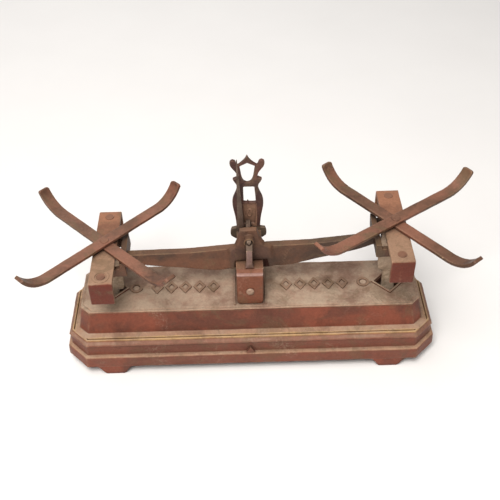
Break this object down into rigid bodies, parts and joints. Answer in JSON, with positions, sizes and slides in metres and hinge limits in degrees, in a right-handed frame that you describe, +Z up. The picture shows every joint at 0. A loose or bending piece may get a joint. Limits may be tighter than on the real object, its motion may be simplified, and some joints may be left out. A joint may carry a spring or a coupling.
{
  "type": "equal arm balance scale",
  "caption": "Old cast iron counter scale: a rocking beam on knife edges carries two pan crosses above a stepped base, with a needle in front of a lyre-shaped sight.",
  "frame": {"origin": "on the resting surface, under the middle of the whole scale with its crosses; the centre of the base lies 6.15 mm to its left", "axes": "+Z up, X along the beam and the long side of the base, -Y towards the front, where the pillar's plate is"},
  "size_m": [0.4396, 0.1588, 0.2244],
  "materials": {
    "base_iron": "aged",
    "pillar_iron": "aged",
    "lyre_iron": "aged",
    "beam_iron": "aged",
    "stirrup_iron": "aged",
    "stem_iron": "aged",
    "strip_iron": "aged",
    "inner_iron": "rough",
    "fastener_steel": "worn",
    "knife_steel": "worn",
    "bright_metal": "worn"
  },
  "bodies": {
    "base": {"base_casting": "base_iron", "pillar": "pillar_iron", "pillar_front_plate": "pillar_iron", "pillar_rivet": "fastener_steel", "pillar_screws": "fastener_steel", "front_bearing": "knife_steel", "rear_bearing": "knife_steel", "lyre": "lyre_iron", "lyre_screw": "fastener_steel", "stay_hanger": "inner_iron", "stay_pin": "fastener_steel", "seal_plugs": "bright_metal"},
    "beam": {"beam": "beam_iron", "centre_knife": "knife_steel", "needle": "knife_steel", "needle_rivet": "fastener_steel", "left_end_knife": "knife_steel", "right_end_knife": "knife_steel"},
    "left_carrier": {"left_stirrup": "stirrup_iron", "left_front_bearing": "knife_steel", "left_rear_bearing": "knife_steel", "left_bearing_rivets": "fastener_steel", "left_stem_plate": "stem_iron", "left_lower_strip": "strip_iron", "left_upper_strip": "strip_iron", "left_cross_rivet": "fastener_steel", "left_stem_pin": "fastener_steel"},
    "right_carrier": {"right_stirrup": "stirrup_iron", "right_front_bearing": "knife_steel", "right_rear_bearing": "knife_steel", "right_bearing_rivets": "fastener_steel", "right_stem_plate": "stem_iron", "right_lower_strip": "strip_iron", "right_upper_strip": "strip_iron", "right_cross_rivet": "fastener_steel", "right_stem_pin": "fastener_steel"},
    "stay": {"lower_stay": "inner_iron"}
  },
  "joints": [
    {"name": "beam_rock", "type": "hinge", "parent": "base", "child": "beam", "pos_m": [-0.00615, 0, 0.142], "axis": [0, 1, 0], "range_deg": [0, 7.2]},
    {"name": "left_knife_pivot", "type": "hinge", "parent": "beam", "child": "left_carrier", "pos_m": [-0.14684, 0, 0.12313], "axis": [0, 1, 0], "range_deg": [-7.2, 0]},
    {"name": "right_knife_pivot", "type": "hinge", "parent": "beam", "child": "right_carrier", "pos_m": [0.1358, 0, 0.14091], "axis": [0, 1, 0], "range_deg": [-7.2, 0]},
    {"name": "stay_pivot", "type": "hinge", "parent": "base", "child": "stay", "pos_m": [-0.00615, 0, 0.042], "axis": [0, 1, 0], "range_deg": [0, 7.2]}
  ],
  "couplings": [
    {"joint": "left_knife_pivot", "follows": "beam_rock", "ratio": -1},
    {"joint": "right_knife_pivot", "follows": "beam_rock", "ratio": -1},
    {"joint": "stay_pivot", "follows": "beam_rock", "ratio": 1}
  ]
}
